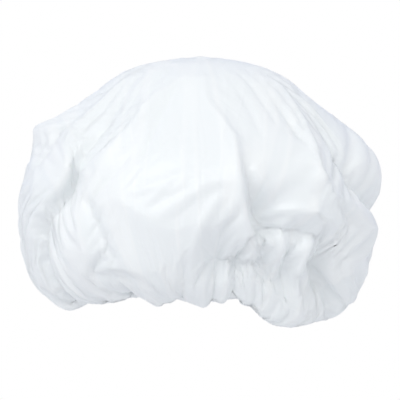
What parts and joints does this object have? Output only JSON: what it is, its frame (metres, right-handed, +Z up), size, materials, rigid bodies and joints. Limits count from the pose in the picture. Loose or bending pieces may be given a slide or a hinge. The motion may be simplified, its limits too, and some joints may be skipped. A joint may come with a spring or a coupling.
{
  "type": "rinse-free shampoo cap",
  "caption": "Puffed round cap of soft white film, gathered at its edge by an elastic band, shown in its worn shape",
  "frame": {"origin": "centre of the head opening, level with the middle of the elastic band", "axes": "+Z up through the crown, -Y the front of the cap, +X to the right as seen from the front"},
  "size_m": [0.2709, 0.2717, 0.1868],
  "materials": {
    "film": "soft satin white film, slightly see-through, with fine creases",
    "elastic": "plain white woven elastic, matte"
  },
  "bodies": {
    "root": {"crown": "film", "elastic_band": "elastic"}
  },
  "joints": []
}
